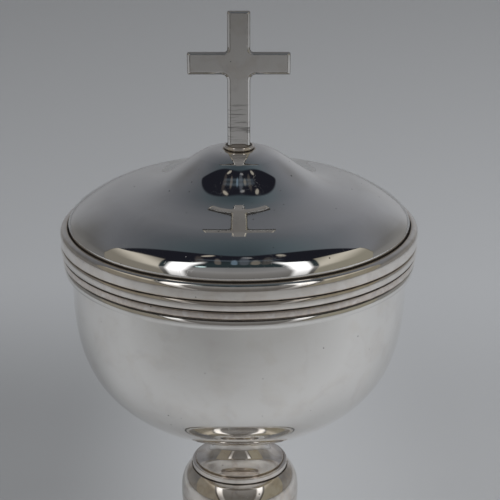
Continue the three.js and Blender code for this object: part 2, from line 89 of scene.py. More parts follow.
# The dome's slope between crown and foot, as (share of the skirt's radius, degrees)
DOME_SLOPES = [
    (0.228, 25.5), (0.24, 32), (0.33, 36), (0.423, 32), (0.475, 22.8), (0.54, 16), (0.6, 12.8), (0.7, 12),
    (0.77, 17.8), (0.84, 26), (0.946, 35.5), (0.98, 46), (1, 65),
]

# The cross, its heights counted from its foot
CROSS_HALF_WIDTH = 3.35
CROSS_REACH = 15.15
CROSS_HEIGHT = 40.2
ARM_TOP = 28.0
ARM_FOOT = 21.6
TIP_ROUNDING = 0.45
UPPER_CORNER_ROUNDING = 1.0
LOWER_CORNER_ROUNDING = 1.8

# The cross's softened edge, as (how far inwards, how far from the middle of the plate)
CROSS_EDGE = [
    (0, 0.0), (0, 0.45), (0.0, 0.72), (0.035, 0.87), (0.13, 1.01), (0.3, 1.18), (0.48, 1.36), (0.64, 1.51),
    (0.76, 1.60), (0.9, 1.64), (1.05, 1.65), (1.25, 1.65),
]

# The cup
BOWL_RADIUS = 51.0
BOWL_FLAT_RADIUS = 7.6
BOWL_SIDE_EXPONENT = 1.57
BOWL_FLOOR_EXPONENT = 3.5
RIM_WIRE_RADIUS = 53.3
RIM_WIRE_FOOT_RADIUS = 51.9
RIM_WIRE_BASE = BOWL_MOUTH - 3.4
BOSS_RADIUS = 5.2
BOSS_HEIGHT = 9.1
BOSS_WEB = 1.6
BOSS_BORE = 3.1
NECK_RADIUS = 7.2
COLLAR_RADIUS = 13.9
KNOP_RING_RADIUS = 15.1
KNOP_RING_HEIGHT = 1.8
KNOP_RADIUS = 18.7
KNOP_SIDE_EXPONENT = 2.2
KNOP_TOP_EXPONENT = 2.8
WAIST_RADIUS = 7.6
WAIST_HEIGHT = 51.5
STEM_BORE = 6.0
FOOT_RING_RADIUS = 11.9
FOOT_RING_BULGE = 1.3
FOOT_EDGE_RADIUS = 45.9
FOOT_RIM_BORE = 43.5
FOOT_RIM_RADIUS = 48.5
ROD_RADIUS = 3.0
ROD_BASE = 19.8
ROD_TOP = 99.25
ROD_THREAD_TOP = 42.0
FOOT_WASHER_BASE = 27.4
FOOT_NUT_BASE = 22.2

# Grooves where tarnish and old polish gather, with painted shade where pieces meet, as [radius, height, how
# much]
GROOVE_FADE = 0.55
GROOVES = [
    [51.7, LEDGE_TOP, 1.6],
    [53.8, UPPER_BAND_BASE, 1.35],
    [53.5, BEAD_BASE, 1.15],
    [53.2, BOWL_MOUTH + 0.2, 1.75],
    [51.9, RIM_WIRE_BASE, 0.35],
    [7.3, BOWL_BASE, 0.9],
    [14.0, COLLAR_BASE, 0.75],
    [15.0, UPPER_RING_BASE, 1.1],
    [15.0, KNOP_BASE, 1.1],
    [14.0, LOWER_RING_BASE, 0.75],
    [11.0, STEM_BASE, 0.9],
    [12.0, FOOT_TOP, 0.9],
    [46.0, FOOT_RIM_TOP, 0.9],
    [4.5, CROWN_TOP, 1.2],
    [3.6, CROSS_BASE, 1.3],
]


# Lines and meshes


def bend(steps, *controls):
    """Points along the curve that the given [radius, height] controls pull into shape."""
    order = len(controls) - 1
    points = []
    for step in range(steps + 1):
        t = step / steps
        weights = [math.comb(order, k) * t**k * (1 - t) ** (order - k) for k in range(order + 1)]
        points.append([sum(w * control[axis] for w, control in zip(weights, controls)) for axis in (0, 1)])
    return points


def meet(a, fall_a, b, fall_b):
    """Where two slanted lines meet, each through a point with a fall per unit of radius."""
    radius = (a[1] - b[1] + fall_a * a[0] - fall_b * b[0]) / (fall_a - fall_b)
    return [radius, a[1] - fall_a * (radius - a[0])]


def inset(outline, wall):
    """The outline moved inwards by a sheet's wall, with its blunt corners mitred."""
    blunt = 1.5
    points = [Vector(point) for point in outline]
    moved = []
    for index, point in enumerate(points):
        arriving = (point - points[max(index - 1, 0)]).normalized()
        leaving = (points[min(index + 1, len(points) - 1)] - point).normalized()
        normal = Vector((arriving.y + leaving.y, -arriving.x - leaving.x))
        reach = 2 * wall / normal.length_squared if normal.length > blunt else wall / normal.length
        moved.append(list(point + normal * reach))
    return moved


def bulged_edge(edge_radius, bulge, base, height, steps=16):
    """A bulged edge, walked downwards."""
    points = []
    for step in range(steps + 1):
        angle = math.pi * (0.5 - step / steps)
        points.append([edge_radius + bulge * math.cos(angle), base + height / 2 * (1 + math.sin(angle))])
    return points


def crowned_face(outer, bulge, top, base, steps):
    """A gently bulged upright face, walked downwards."""
    points = []
    for step in range(steps + 1):
        part = step / steps
        points.append([outer - bulge * (2 * part - 1) ** 2, top + (base - top) * part])
    return points


def soften(outline, radius, closed=True, steps=4):
    """The outline with every sharp corner rounded off, and a point beside the rounding on each long side."""
    sharp = math.radians(20)
    longest_cut = 0.42
    long_side = 4
    beside = 1.6
    points = [Vector(point) for point in outline]
    count = len(points)
    result = []
    for index, point in enumerate(points):
        if not closed and index in (0, count - 1):
            result.append(list(point))
            continue
        back = points[index - 1] - point
        on = points[(index + 1) % count] - point
        turning = math.pi - back.angle(on)
        if turning < sharp:
            result.append(list(point))
            continue
        cut = min(radius * math.tan(turning / 2), longest_cut * back.length, longest_cut * on.length)
        start = point + back.normalized() * cut
        end = point + on.normalized() * cut
        if back.length > long_side * cut:
            result.append(list(point + back.normalized() * cut * beside))
        result += bend(steps, list(start), list(point), list(end))
        if on.length > long_side * cut:
            result.append(list(point + on.normalized() * cut * beside))
    return result


def walk(outline, longest, closed=True):
    """The outline with steps no longer than the given one."""
    result = []
    count = len(outline)
    for index in range(count if closed else count - 1):
        start, end = Vector(outline[index]), Vector(outline[(index + 1) % count])
        parts = max(1, math.ceil((end - start).length / longest))
        result += [list(start.lerp(end, part / parts)) for part in range(parts)]
    if not closed:
        result.append(list(outline[-1]))
    return result


def groove_depth(radius, height):
    """How much of a groove's tarnish and painted shade reaches a point, all of it in the groove itself."""
    return max(much * math.exp(-math.hypot(radius - r, height - z) / GROOVE_FADE) for r, z, much in GROOVES)


def put_object(name, mesh_builder, finishes):
    """A named object from a bmesh, smooth-shaded, with its materials."""
    data = bpy.data.meshes.new(name)
    mesh_builder.to_mesh(data)
    mesh_builder.free()
    data.polygons.foreach_set("use_smooth", [True] * len(data.polygons))
    thing = bpy.data.objects.new(name, data)
    bpy.context.scene.collection.objects.link(thing)
    for finish in finishes:
        data.materials.append(finish)
    return thing


def turn(name, outline, finishes, segments=160, closed=True, lined=(0, 0)):
    """The outline turned once round the Z axis. Steps that run the way of lined take the second finish."""
    work = bmesh.new()
    groove = work.verts.layers.float.new("groove")
    columns = []
    for segment in range(segments):
        angle = 2 * math.pi * segment / segments
        cosine, sine = math.cos(angle), math.sin(angle)
        column = []
        for index, (radius, height) in enumerate(outline):
            if radius < 1e-6 and segment:
                column.append(columns[0][index])
                continue
            vert = work.verts.new((radius * cosine * MM, radius * sine * MM, height * MM))
            vert[groove] = groove_depth(radius, height)
            column.append(vert)
        columns.append(column)
    steps = len(outline) if closed else len(outline) - 1
    lining = []
    for step in range(steps):
        run = Vector(outline[(step + 1) % len(outline)]) - Vector(outline[step])
        lining.append(run.dot(Vector(lined)) > 1e-9)
    for segment in range(segments):
        here, there = columns[segment], columns[(segment + 1) % segments]
        for step in range(steps):
            following = (step + 1) % len(outline)
            corners = []
            for corner in (here[step], here[following], there[following], there[step]):
                if corner not in corners:
                    corners.append(corner)
            if len(corners) > 2:
                face = work.faces.new(corners)
                face.material_index = int(lining[step])
    return put_object(name, work, finishes)


def ring_of_verts(work, reaches, height):
    """A level ring of vertices, one for each reach from the axis."""
    row = []
    for index, reach in enumerate(reaches):
        angle = 2 * math.pi * index / len(reaches)
        row.append(work.verts.new((reach * math.cos(angle) * MM, reach * math.sin(angle) * MM, height * MM)))
    return row


def join_rows(work, low, high):
    """Faces between two rings that have the same number of vertices."""
    for index in range(len(low)):
        after = (index + 1) % len(low)
        work.faces.new((low[index], low[after], high[after], high[index]))


# Outlines of the cover's pieces, walked down the outer face and back up the inner one


def dome_face(steps):
    """The dome's outer face. The slope changes steadily from each given place to the next."""
    places = [(CROWN_FLAT_RADIUS, 0), *((share * SKIRT_RADIUS, slope) for share, slope in DOME_SLOPES)]
    curve = [(CROWN_FLAT_RADIUS, 0.0)]
    for (start, slope), (end, next_slope) in zip(places, places[1:]):
        fall, next_fall = math.tan(math.radians(slope)), math.tan(math.radians(next_slope))
        reached = curve[-1][1]
        for step in range(1, steps + 1):
            part = step / steps
            run = (end - start) * part
            curve.append((start + run, reached + run * (fall + (next_fall - fall) * part / 2)))
    fit = (CROWN_TOP - DOME_FOOT) / curve[-1][1]
    return [
        [STUD_HOLE, CROWN_TOP],
        *([radius, CROWN_TOP - fall * fit] for radius, fall in curve),
        [SKIRT_RADIUS, BOWL_MOUTH],
    ]


def upper_band_outline():
    """A flat ledge that turns over a round shoulder into a face that leans in at its foot."""
    radius = UPPER_BAND_RADIUS
    shoulder = [[52.2, LEDGE_TOP], [53.4, LEDGE_TOP], [radius, LEDGE_TOP - 0.7], [radius, LEDGE_TOP - 2.0]]
    foot = [[radius, LEDGE_TOP - 2.2], [radius, LEDGE_TOP - 3.2], [54.0, UPPER_BAND_BASE + 0.1]]
    return [
        [BAND_BORE, LEDGE_TOP],
        [LEDGE_RADIUS, LEDGE_TOP],
        *bend(14, *shoulder),
        *bend(8, *foot),
        [BAND_BORE, UPPER_BAND_BASE],
    ]


def bead_outline():
    """The narrow bead between the two bands."""
    return [
        [BAND_BORE, UPPER_BAND_BASE],
        *bulged_edge(BEAD_RADIUS, BEAD_BULGE, BEAD_BASE, UPPER_BAND_BASE - BEAD_BASE),
        [BAND_BORE, BEAD_BASE],
    ]


def lower_band_outline():
    """The cover's lip, its face slightly crowned."""
    return [
        [BAND_BORE, BEAD_BASE],
        *crowned_face(LOWER_BAND_RADIUS, 0.17, BEAD_BASE - 0.02, BOWL_MOUTH + 0.25, 10),
        [LOWER_BAND_FOOT_RADIUS, BOWL_MOUTH],
        [BAND_BORE, BOWL_MOUTH],
    ]


def bezel_outline():
    """The ring that centres the cover in the bowl's mouth, with a flange at its top."""
    top = BOWL_MOUTH + 3.0
    flange_base = BOWL_MOUTH + 2.0
    base = BOWL_MOUTH - BEZEL_DEPTH
    return [
        [BEZEL_BORE, top], [BEZEL_FLANGE_RADIUS, top], [BEZEL_FLANGE_RADIUS, flange_base],
        [BEZEL_RADIUS, flange_base], [BEZEL_RADIUS, base], [BEZEL_BORE, base],
    ]


# Outlines of the cup's pieces


def bowl_face(steps):
    """The bowl's outer face, part of a superellipse, with most points near the mouth."""
    points = []
    for step in range(steps + 1):
        angle = math.pi / 2 * (step / steps) ** 1.6
        spread = max(math.cos(angle), 0) ** (2 / BOWL_SIDE_EXPONENT)
        fall = math.sin(angle) ** (2 / BOWL_FLOOR_EXPONENT)
        radius = BOWL_FLAT_RADIUS + (BOWL_RADIUS - BOWL_FLAT_RADIUS) * spread
        points.append([radius, BOWL_MOUTH - (BOWL_MOUTH - BOWL_BASE) * fall])
    points[steps] = [BOWL_FLAT_RADIUS, BOWL_BASE]
    return points


def bowl_outline():
    """The bowl from the middle of its floor, up over the mouth and down to the middle of its underside."""
    floor_height = BOWL_BASE + BOWL_SHEET
    inner = inset(bowl_face(48), BOWL_SHEET)
    inner[0] = [BOWL_RADIUS - BOWL_SHEET, BOWL_MOUTH]
    inner[-1] = [BOWL_FLAT_RADIUS, floor_height]
    outline = [[0, floor_height], *inner[::-1], *bowl_face(72), [0, BOWL_BASE]]
    return walk(soften(outline, 0.3, False), 1.0, False)


def rim_wire_outline():
    """The wire round the bowl's mouth, its face crowned above a thin foot."""
    bore = BOWL_RADIUS + SOLDER_GAP
    return [
        [bore, BOWL_MOUTH],
        [52.4, BOWL_MOUTH],
        *crowned_face(RIM_WIRE_RADIUS, 0.4, BOWL_MOUTH - 0.45, BOWL_MOUTH - 2.7, 12),
        [RIM_WIRE_FOOT_RADIUS, BOWL_MOUTH - 2.9],
        [RIM_WIRE_FOOT_RADIUS, RIM_WIRE_BASE],
        [bore, RIM_WIRE_BASE],
    ]


def boss_outline():
    """The boss under the bowl, with a blind bore for the rod."""
    base = BOWL_BASE - BOSS_HEIGHT
    web = BOWL_BASE - BOSS_WEB
    return [
        [0, BOWL_BASE], [BOSS_RADIUS, BOWL_BASE], [BOSS_RADIUS, base],
        [BOSS_BORE, base], [BOSS_BORE, web], [0, web],
    ]


def collar_outline():
    """The neck under the bowl, spreading to a flat rim and hollowed for the boss."""
    bore = BOSS_RADIUS + 0.2
    shelf = BOWL_BASE - BOSS_HEIGHT - 0.3
    flare = [
        [NECK_RADIUS, BOWL_BASE - 4.5], [NECK_RADIUS, BOWL_BASE - 8.562],
        [9.612, COLLAR_BASE + 0.9], [COLLAR_RADIUS, COLLAR_BASE + 0.6],
    ]
    return [
        [bore, BOWL_BASE],
        [NECK_RADIUS, BOWL_BASE],
        *bend(24, *flare),
        [COLLAR_RADIUS, COLLAR_BASE],
        [ROD_HOLE, COLLAR_BASE],
        [ROD_HOLE, shelf],
        [bore, shelf],
    ]


def knop_face(sign, steps):
    """Half of the knop's outer face, part of a superellipse, from the seam to a ring."""
    end = math.acos((KNOP_RING_RADIUS / KNOP_RADIUS) ** (KNOP_SIDE_EXPONENT / 2))
    full_rise = (KNOP_SEAM - KNOP_BASE) / math.sin(end) ** (2 / KNOP_TOP_EXPONENT)
    points = []
    for step in range(steps + 1):
        angle = end * (step / steps) ** 1.4
        rise = full_rise * math.sin(angle) ** (2 / KNOP_TOP_EXPONENT)
        points.append([KNOP_RADIUS * math.cos(angle) ** (2 / KNOP_SIDE_EXPONENT), KNOP_SEAM + sign * rise])
    return points


def knop_half_outline(sign):
    """Half of the hollow knop, the upper one for a sign of 1 and the lower one for -1."""
    outer = knop_face(sign, 18)
    inner = [[radius - KNOP_SHEET, height] for radius, height in knop_face(sign, 10)]
    return outer[::-1] + inner if sign > 0 else outer + inner[::-1]


def stem_outline():
    """The hollow lower stem, a waist between two spreading ends."""
    rim = LOWER_RING_BASE - 0.6
    waist = [WAIST_RADIUS, WAIST_HEIGHT]
    return [
        [STEM_BORE, LOWER_RING_BASE],
        [COLLAR_RADIUS, LOWER_RING_BASE],
        *bend(24, [COLLAR_RADIUS, rim], [9.49, rim], [WAIST_RADIUS, 60.0], waist),
        *bend(16, waist, [WAIST_RADIUS, 42.3], [8.56, 36.0], [10.8, STEM_BASE])[1:],
        [STEM_BORE, STEM_BASE],
    ]


def foot_ring_outline():
    """The bulged ring between stem and foot."""
    return [
        [ROD_HOLE, STEM_BASE],
        *bulged_edge(FOOT_RING_RADIUS, FOOT_RING_BULGE, FOOT_TOP, STEM_BASE - FOOT_TOP),
        [ROD_HOLE, FOOT_TOP],
    ]


def foot_face(steps):
    """The foot's outer face, hollow below the stem and full towards the edge."""
    neck = [FOOT_RING_RADIUS, FOOT_TOP]
    shoulder = [25.1, 18.5]
    edge = [FOOT_EDGE_RADIUS, 5.4]
    return [
        [ROD_HOLE, FOOT_TOP],
        *bend(steps, neck, meet(shoulder, 0.25, neck, 1.6), shoulder),
        *bend(steps * 2, shoulder, [36.5, 15.65], [FOOT_EDGE_RADIUS, 9.6], edge)[1:],
        [FOOT_EDGE_RADIUS, FOOT_RIM_TOP],
    ]


def plate_ring(inner, outer, base, height):
    """A flat ring or disc with square corners."""
    return [[inner, base + height], [outer, base + height], [outer, base], [inner, base]]


# Pieces that aren't turned from an outline


def make_screw(name, radius, pitch, depth, base, top, finish, thread_top=None):
    """A rod with a helical thread from its base to thread_top, or to its top, and a plain shank above."""
    work = bmesh.new()
    segments = 40
    if thread_top is None:
        thread_top = top
    levels = []
    height = base
    while height < thread_top - 1e-6:
        levels.append(height)
        height += pitch / 8
    levels += [top] if thread_top == top else [thread_top, top]
    rows = []
    for level in levels:
        tip = max(0, 1 - (level - base) / (0.8 * pitch)) * depth
        reaches = []
        for segment in range(segments):
            phase = (level / pitch - segment / segments) % 1
            cut = depth * abs(2 * phase - 1) if level < thread_top else 0
            reaches.append(radius - max(cut, tip))
        rows.append(ring_of_verts(work, reaches, level))
    for low, high in zip(rows, rows[1:]):
        join_rows(work, low, high)
    work.faces.new(rows[0][::-1])
    work.faces.new(rows[-1])
    return put_object(name, work, [finish])


def make_nut(name, across_flats, bore, base, height, finish):
    """A hexagon nut with the corners of both faces rounded off."""
    work = bmesh.new()
    segments = 96
    chamfer_steps = 4
    flat = across_flats / 2
    corner = flat / math.cos(math.radians(30))
    chamfer = (corner - flat) * 1.15
    cuts = []
    for step in range(chamfer_steps + 1):
        part = step / chamfer_steps
        cuts.append((chamfer * (1 - part), 0.55 * chamfer * part))
    profile = [(inward, base + along) for inward, along in cuts]
    profile += [(inward, base + height - along) for inward, along in reversed(cuts)]
    rows = [ring_of_verts(work, [bore] * segments, base)]
    for inward, level in profile:
        reaches = []
        for segment in range(segments):
            angle = 2 * math.pi * segment / segments
            side = (angle + math.pi / 6) % (math.pi / 3) - math.pi / 6
            reaches.append(min(flat / math.cos(side), corner - inward))
        rows.append(ring_of_verts(work, reaches, level))
    rows.append(ring_of_verts(work, [bore] * segments, base + height))
    for index, row in enumerate(rows):
        join_rows(work, row, rows[(index + 1) % len(rows)])
    nut = put_object(name, work, [finish])
    nut.data.set_sharp_from_angle(angle=math.radians(25))
    return nut


def cross_ring(inward):
    """The cross's outline moved inwards, as [x, z] points, the same number at every corner."""
    half = CROSS_HALF_WIDTH - inward
    reach = CROSS_REACH - inward
    top = CROSS_BASE + CROSS_HEIGHT - 0.35 * inward
    arm_top = CROSS_BASE + ARM_TOP - 0.35 * inward
    arm_foot = CROSS_BASE + ARM_FOOT + inward
    tip = TIP_ROUNDING - 0.25 * min(inward, 0.8) / 0.8
    upper = UPPER_CORNER_ROUNDING + inward
    lower = LOWER_CORNER_ROUNDING + inward
    right = [
        (half, CROSS_BASE, 0), (half, arm_foot, lower), (reach, arm_foot, tip), (reach, arm_top, tip),
        (half, arm_top, upper), (half, top, tip),
    ]
    corners = right + [(-x, z, radius) for x, z, radius in reversed(right)]
    steps = 6
    points = []
    for index, (x, z, radius) in enumerate(corners):
        here = Vector((x, z))
        if radius == 0:
            points.append(here)
            continue
        before = (Vector(corners[index - 1][:2]) - here).normalized()
        after = (Vector(corners[(index + 1) % len(corners)][:2]) - here).normalized()
        centre = here + (before + after) * radius
        start = math.atan2(*(here + before * radius - centre).yx)
        sweep = math.atan2(*(here + after * radius - centre).yx) - start
        sweep = (sweep + math.pi) % (2 * math.pi) - math.pi
        for step in range(steps + 1):
            angle = start + sweep * step / steps
            points.append(centre + Vector((math.cos(angle), math.sin(angle))) * radius)
    return points


def cross_painted_shade(inward):
    """How much painted shade lies on the cross, most on its outermost edge and along the bevel's two borders.
    """
    if inward < 0.1:
        return 0.75
    if inward < 0.2 or 0.7 < inward < 1:
        return 0.6
    return 0.1


def make_cross(finish):
    """The flat cross, its front and back edges eased by a soft bevel."""
    work = bmesh.new()
    levels = [(inward, -depth) for inward, depth in reversed(CROSS_EDGE)] + CROSS_EDGE[1:]
    groove = work.verts.layers.float.new("groove")
    rings = []
    for inward, depth in levels:
        ring = [work.verts.new((point.x * MM, depth * MM, point.y * MM)) for point in cross_ring(inward)]
        for vert in ring:
            # Painted shade along the cross's outer edge and the borders of its bevel.
            vert[groove] = cross_painted_shade(inward)
        rings.append(ring)
    count = len(rings[0])
    for front, back in zip(rings, rings[1:]):
        for index in range(count):
            after = (index + 1) % count
            work.faces.new((front[index], back[index], back[after], front[after]))
    work.faces.new(rings[0])
    work.faces.new(rings[-1][::-1])
    plate = put_object("cross_plate", work, [finish])
    plate.data.set_sharp_from_angle(angle=math.radians(40))
    return plate


# Shader nodes


def new_node(tree, kind, **settings):
    """A node of the given kind with its properties set."""
    node = tree.nodes.new(kind)
    for key, value in settings.items():
        setattr(node, key, value)
    return node


def fill(socket, value):
    """Fills an input with a link or a plain value."""
    if isinstance(value, bpy.types.NodeSocket):
        socket.id_data.links.new(value, socket)
    else:
        socket.default_value = value


def feed(node, *values):
    """Fills a node's inputs in order."""
    for socket, value in zip(node.inputs, values):
        fill(socket, value)
    return node


def tree_of(*values):
    """The node tree of the first link among the values."""
    return next(value.id_data for value in values if isinstance(value, bpy.types.NodeSocket))


def calc(operation, *values, clamp=False):
    """The result of a sum on one to three values."""
    node = new_node(tree_of(*values), "ShaderNodeMath", operation=operation, use_clamp=clamp)
    return feed(node, *values).outputs[0]


def product(*values):
    """The values multiplied together, from left to right."""
    total = values[0]
    for value in values[1:]:
        total = calc("MULTIPLY", total, value)
    return total


def ease(value, low, high, to_low=0.0, to_high=1.0, kind="SMOOTHSTEP"):
    """A smooth or linear step of a value between two limits."""
    node = new_node(value.id_data, "ShaderNodeMapRange", interpolation_type=kind)
    return feed(node, value, low, high, to_low, to_high).outputs[0]


def blend_colour(share, first, second, kind="MIX"):
    """The second colour laid over the first by the given share. A plain colour is (r, g, b)."""
    node = new_node(tree_of(share, first, second), "ShaderNodeMix", data_type="RGBA", blend_type=kind)
    for socket, value in ((node.inputs[0], share), (node.inputs[6], first), (node.inputs[7], second)):
        fill(socket, (*value, 1) if isinstance(value, tuple) else value)
    return node.outputs[2]


def shades(value, stops):
    """A colour ramp from (position, (r, g, b)) stops."""
    node = new_node(value.id_data, "ShaderNodeValToRGB")
    ramp = node.color_ramp
    for position, colour in stops[2:]:
        ramp.elements.new(position)
    for element, (position, colour) in zip(ramp.elements, stops):
        element.position = position
        element.color = (*colour, 1)
    return feed(node, value).outputs[0]


def axes(place):
    """The x, y and z of a place or a direction."""
    return feed(new_node(place.id_data, "ShaderNodeSeparateXYZ"), place).outputs


def noise(place, size, detail=2.0, distortion=0.0):
    """Cloudy noise, about 0.5 on average, with patches of the given size in millimetres."""
    tree = place.id_data
    scale = feed(new_node(tree, "ShaderNodeMath", operation="DIVIDE"), 1 / MM, size).outputs[0]
    node = new_node(tree, "ShaderNodeTexNoise")
    for label, value in (("Vector", place), ("Scale", scale), ("Detail", detail), ("Distortion", distortion)):
        fill(node.inputs[label], value)
    return node.outputs[0]


def stretched(place, stretch):
    """The place scaled along each axis, so that marks grow longer along the axes scaled down."""
    node = new_node(place.id_data, "ShaderNodeVectorMath", operation="MULTIPLY")
    return feed(node, place, stretch).outputs[0]


# Surface effects, each a node group that several finishes share. Sizes are in millimetres.

VALUE = "NodeSocketFloat"
COLOUR = "NodeSocketColor"


def new_material(name):
    """A material, its node tree and its surface shader."""
    material = bpy.data.materials.new(name)
    material.use_nodes = True
    return material, material.node_tree, material.node_tree.nodes["Principled BSDF"]


def start_group(name, inputs, outputs):
    """An empty node group with value inputs after its position input, and the sockets at its two ends."""
    tree = bpy.data.node_groups.new(name, "ShaderNodeTree")
    tree.interface.new_socket("position", in_out="INPUT", socket_type="NodeSocketVector")
    for label, value in inputs.items():
        tree.interface.new_socket(label, in_out="INPUT", socket_type=VALUE).default_value = value
    for label, kind in outputs.items():
        tree.interface.new_socket(label, in_out="OUTPUT", socket_type=kind)
    return tree, new_node(tree, "NodeGroupInput").outputs, new_node(tree, "NodeGroupOutput").inputs


def groove_tarnish_and_shade_group():
    """Tarnish, old polish and painted shade that fill a groove and fade out beside it with a broken edge."""
    tree, given, result = start_group("groove_tarnish_and_shade", {"groove": 0, "reach": 0.5, "patch size": 4},
                                      {"mask": VALUE, "stain": VALUE})
    ragged = noise(given["position"], given["patch size"], 3)
    filled = calc("MULTIPLY_ADD", calc("SUBTRACT", ragged, 0.5), 0.22, given["groove"])
    past = calc("ADD", filled, calc("SUBTRACT", given["reach"], 1.0))
    fill(result["mask"], ease(past, -0.1, 0.22))
    fill(result["stain"], ease(filled, 0.3, 0.9))
    return tree


def tarnish_film_group():
    """A thin film in clouds, straw coloured where it is thin, brown and then slate where it is thick."""
    tree, given, result = start_group("tarnish_film", {"patch size": 12, "cover": 0.4},
                                      {"mask": VALUE, "tone": COLOUR})
    cloud = noise(given["position"], given["patch size"], 5, 0.6)
    past = calc("ADD", cloud, calc("MULTIPLY_ADD", given["cover"], 0.5, -0.75))
    fill(result["mask"], ease(past, -0.1, 0.14))
    drift = noise(given["position"], product(given["patch size"], 0.45), 3)
    tone = shades(drift, [
        (0.3, (0.82, 0.76, 0.64)),
        (0.48, (0.7, 0.6, 0.5)),
        (0.58, (0.56, 0.46, 0.42)),
        (0.7, (0.46, 0.46, 0.5)),
    ])
    fill(result["tone"], tone)
    return tree


def fine_scratches_group():
    """Long thin scratches in short runs, turned round by the slant."""
    tree, given, result = start_group("fine_scratches", {"spacing": 2, "slant": 0.5, "share": 0.4},
                                      {"mask": VALUE, "height": VALUE})
    turned_place = new_node(tree, "ShaderNodeVectorRotate", rotation_type="AXIS_ANGLE")
    turned_place.inputs["Axis"].default_value = (0.35, 0.9, 0.25)
    fill(turned_place.inputs["Vector"], given["position"])
    fill(turned_place.inputs["Angle"], given["slant"])
    drawn_out = stretched(turned_place.outputs[0], (1, 1, 0.05))
    lines = noise(drawn_out, given["spacing"], 1)
    off_line = calc("ABSOLUTE", calc("SUBTRACT", lines, 0.5))
    runs = noise(given["position"], product(given["spacing"], 2.5), 2)
    in_run = ease(calc("ADD", runs, given["share"]), 0.95, 1.02)
    mask = product(ease(off_line, 0.012, 0.002), in_run)
    fill(result["mask"], mask)
    fill(result["height"], product(mask, -1.0))
    return tree


def tiny_pits_group():
    """Scattered round pits, only in some of the cells that the surface is divided into."""
    tree, given, result = start_group("tiny_pits", {"spacing": 5, "pit size": 0.3, "share": 0.3},
                                      {"mask": VALUE, "height": VALUE})
    cells = new_node(tree, "ShaderNodeTexVoronoi", feature="F1")
    fill(cells.inputs["Vector"], given["position"])
    fill(cells.inputs["Scale"], calc("DIVIDE", 1 / MM, given["spacing"]))
    draw = new_node(tree, "ShaderNodeSeparateColor")
    fill(draw.inputs[0], cells.outputs["Color"])
    edge = calc("DIVIDE", given["pit size"], given["spacing"])
    edge = product(edge, calc("ADD", draw.outputs[1], 0.35))
    inside = calc("SUBTRACT", 1.0, calc("DIVIDE", cells.outputs["Distance"], edge), clamp=True)
    chosen = calc("LESS_THAN", draw.outputs[0], given["share"])
    mask = product(ease(inside, 0.0, 0.5), chosen)
    fill(result["mask"], mask)
    fill(result["height"], product(mask, -1.0))
    return tree


def handling_haze_group():
    """Roughness that drifts between polished and handled places."""
    tree, given, result = start_group("handling_haze", {"patch size": 18, "polished": 0.03, "handled": 0.08},
                                      {"haze": VALUE})
    smears = noise(given["position"], given["patch size"], 6, 0.8)
    share = ease(smears, 0.4, 0.66)
    spread = calc("SUBTRACT", given["handled"], given["polished"])
    fill(result["haze"], calc("MULTIPLY_ADD", share, spread, given["polished"]))
    return tree


def turning_marks_group():
    """Fine rings left by the lathe, centred on the axis."""
    tree, given, result = start_group("turning_marks", {"spacing": 0.4}, {"height": VALUE})
    x, y, z = axes(given["position"])
    radius = calc("SQRT", calc("MULTIPLY_ADD", x, x, product(y, y)))
    ring_place = new_node(tree, "ShaderNodeCombineXYZ")
    fill(ring_place.inputs[0], calc("ADD", radius, product(z, 0.9)))
    fill(result["height"], noise(ring_place.outputs[0], given["spacing"], 3))
    return tree


groove_tarnish_and_shade = groove_tarnish_and_shade_group()
tarnish_film = tarnish_film_group()
fine_scratches = fine_scratches_group()
tiny_pits = tiny_pits_group()
handling_haze = handling_haze_group()
turning_marks = turning_marks_group()


def place_group(group, position, **values):
    """A group placed in a material, with its position linked and its named inputs set or linked."""
    node = new_node(position.id_data, "ShaderNodeGroup", node_tree=group)
    fill(node.inputs["position"], position)
    for label, value in values.items():
        fill(node.inputs[label.replace("_", " ")], value)
    return node.outputs


# Finishes

DIRT_AND_SHADE = (0.014, 0.011, 0.009)
STAIN = (0.72, 0.58, 0.42)
PIT_DARKNESS = 0.85
FILM_ROUGHNESS = 0.05
SCRATCH_ROUGHNESS = 0.12
DIRT_AND_SHADE_ROUGHNESS = 0.4
DIRT_AND_SHADE_DULLNESS = 0.9


def file_marks_share(position, spacing, lowest, highest):
    """Short level strokes of a file between two heights."""
    drawn_out = stretched(position, (0.1, 0.1, 1))
    strokes = ease(noise(drawn_out, spacing, 4), 0.52, 0.66)
    z = axes(position)[2]
    above = ease(z, (lowest - 2) * MM, (lowest + 2) * MM)
    below = ease(z, (highest + 2) * MM, (highest - 3) * MM)
    return product(strokes, product(above, below))


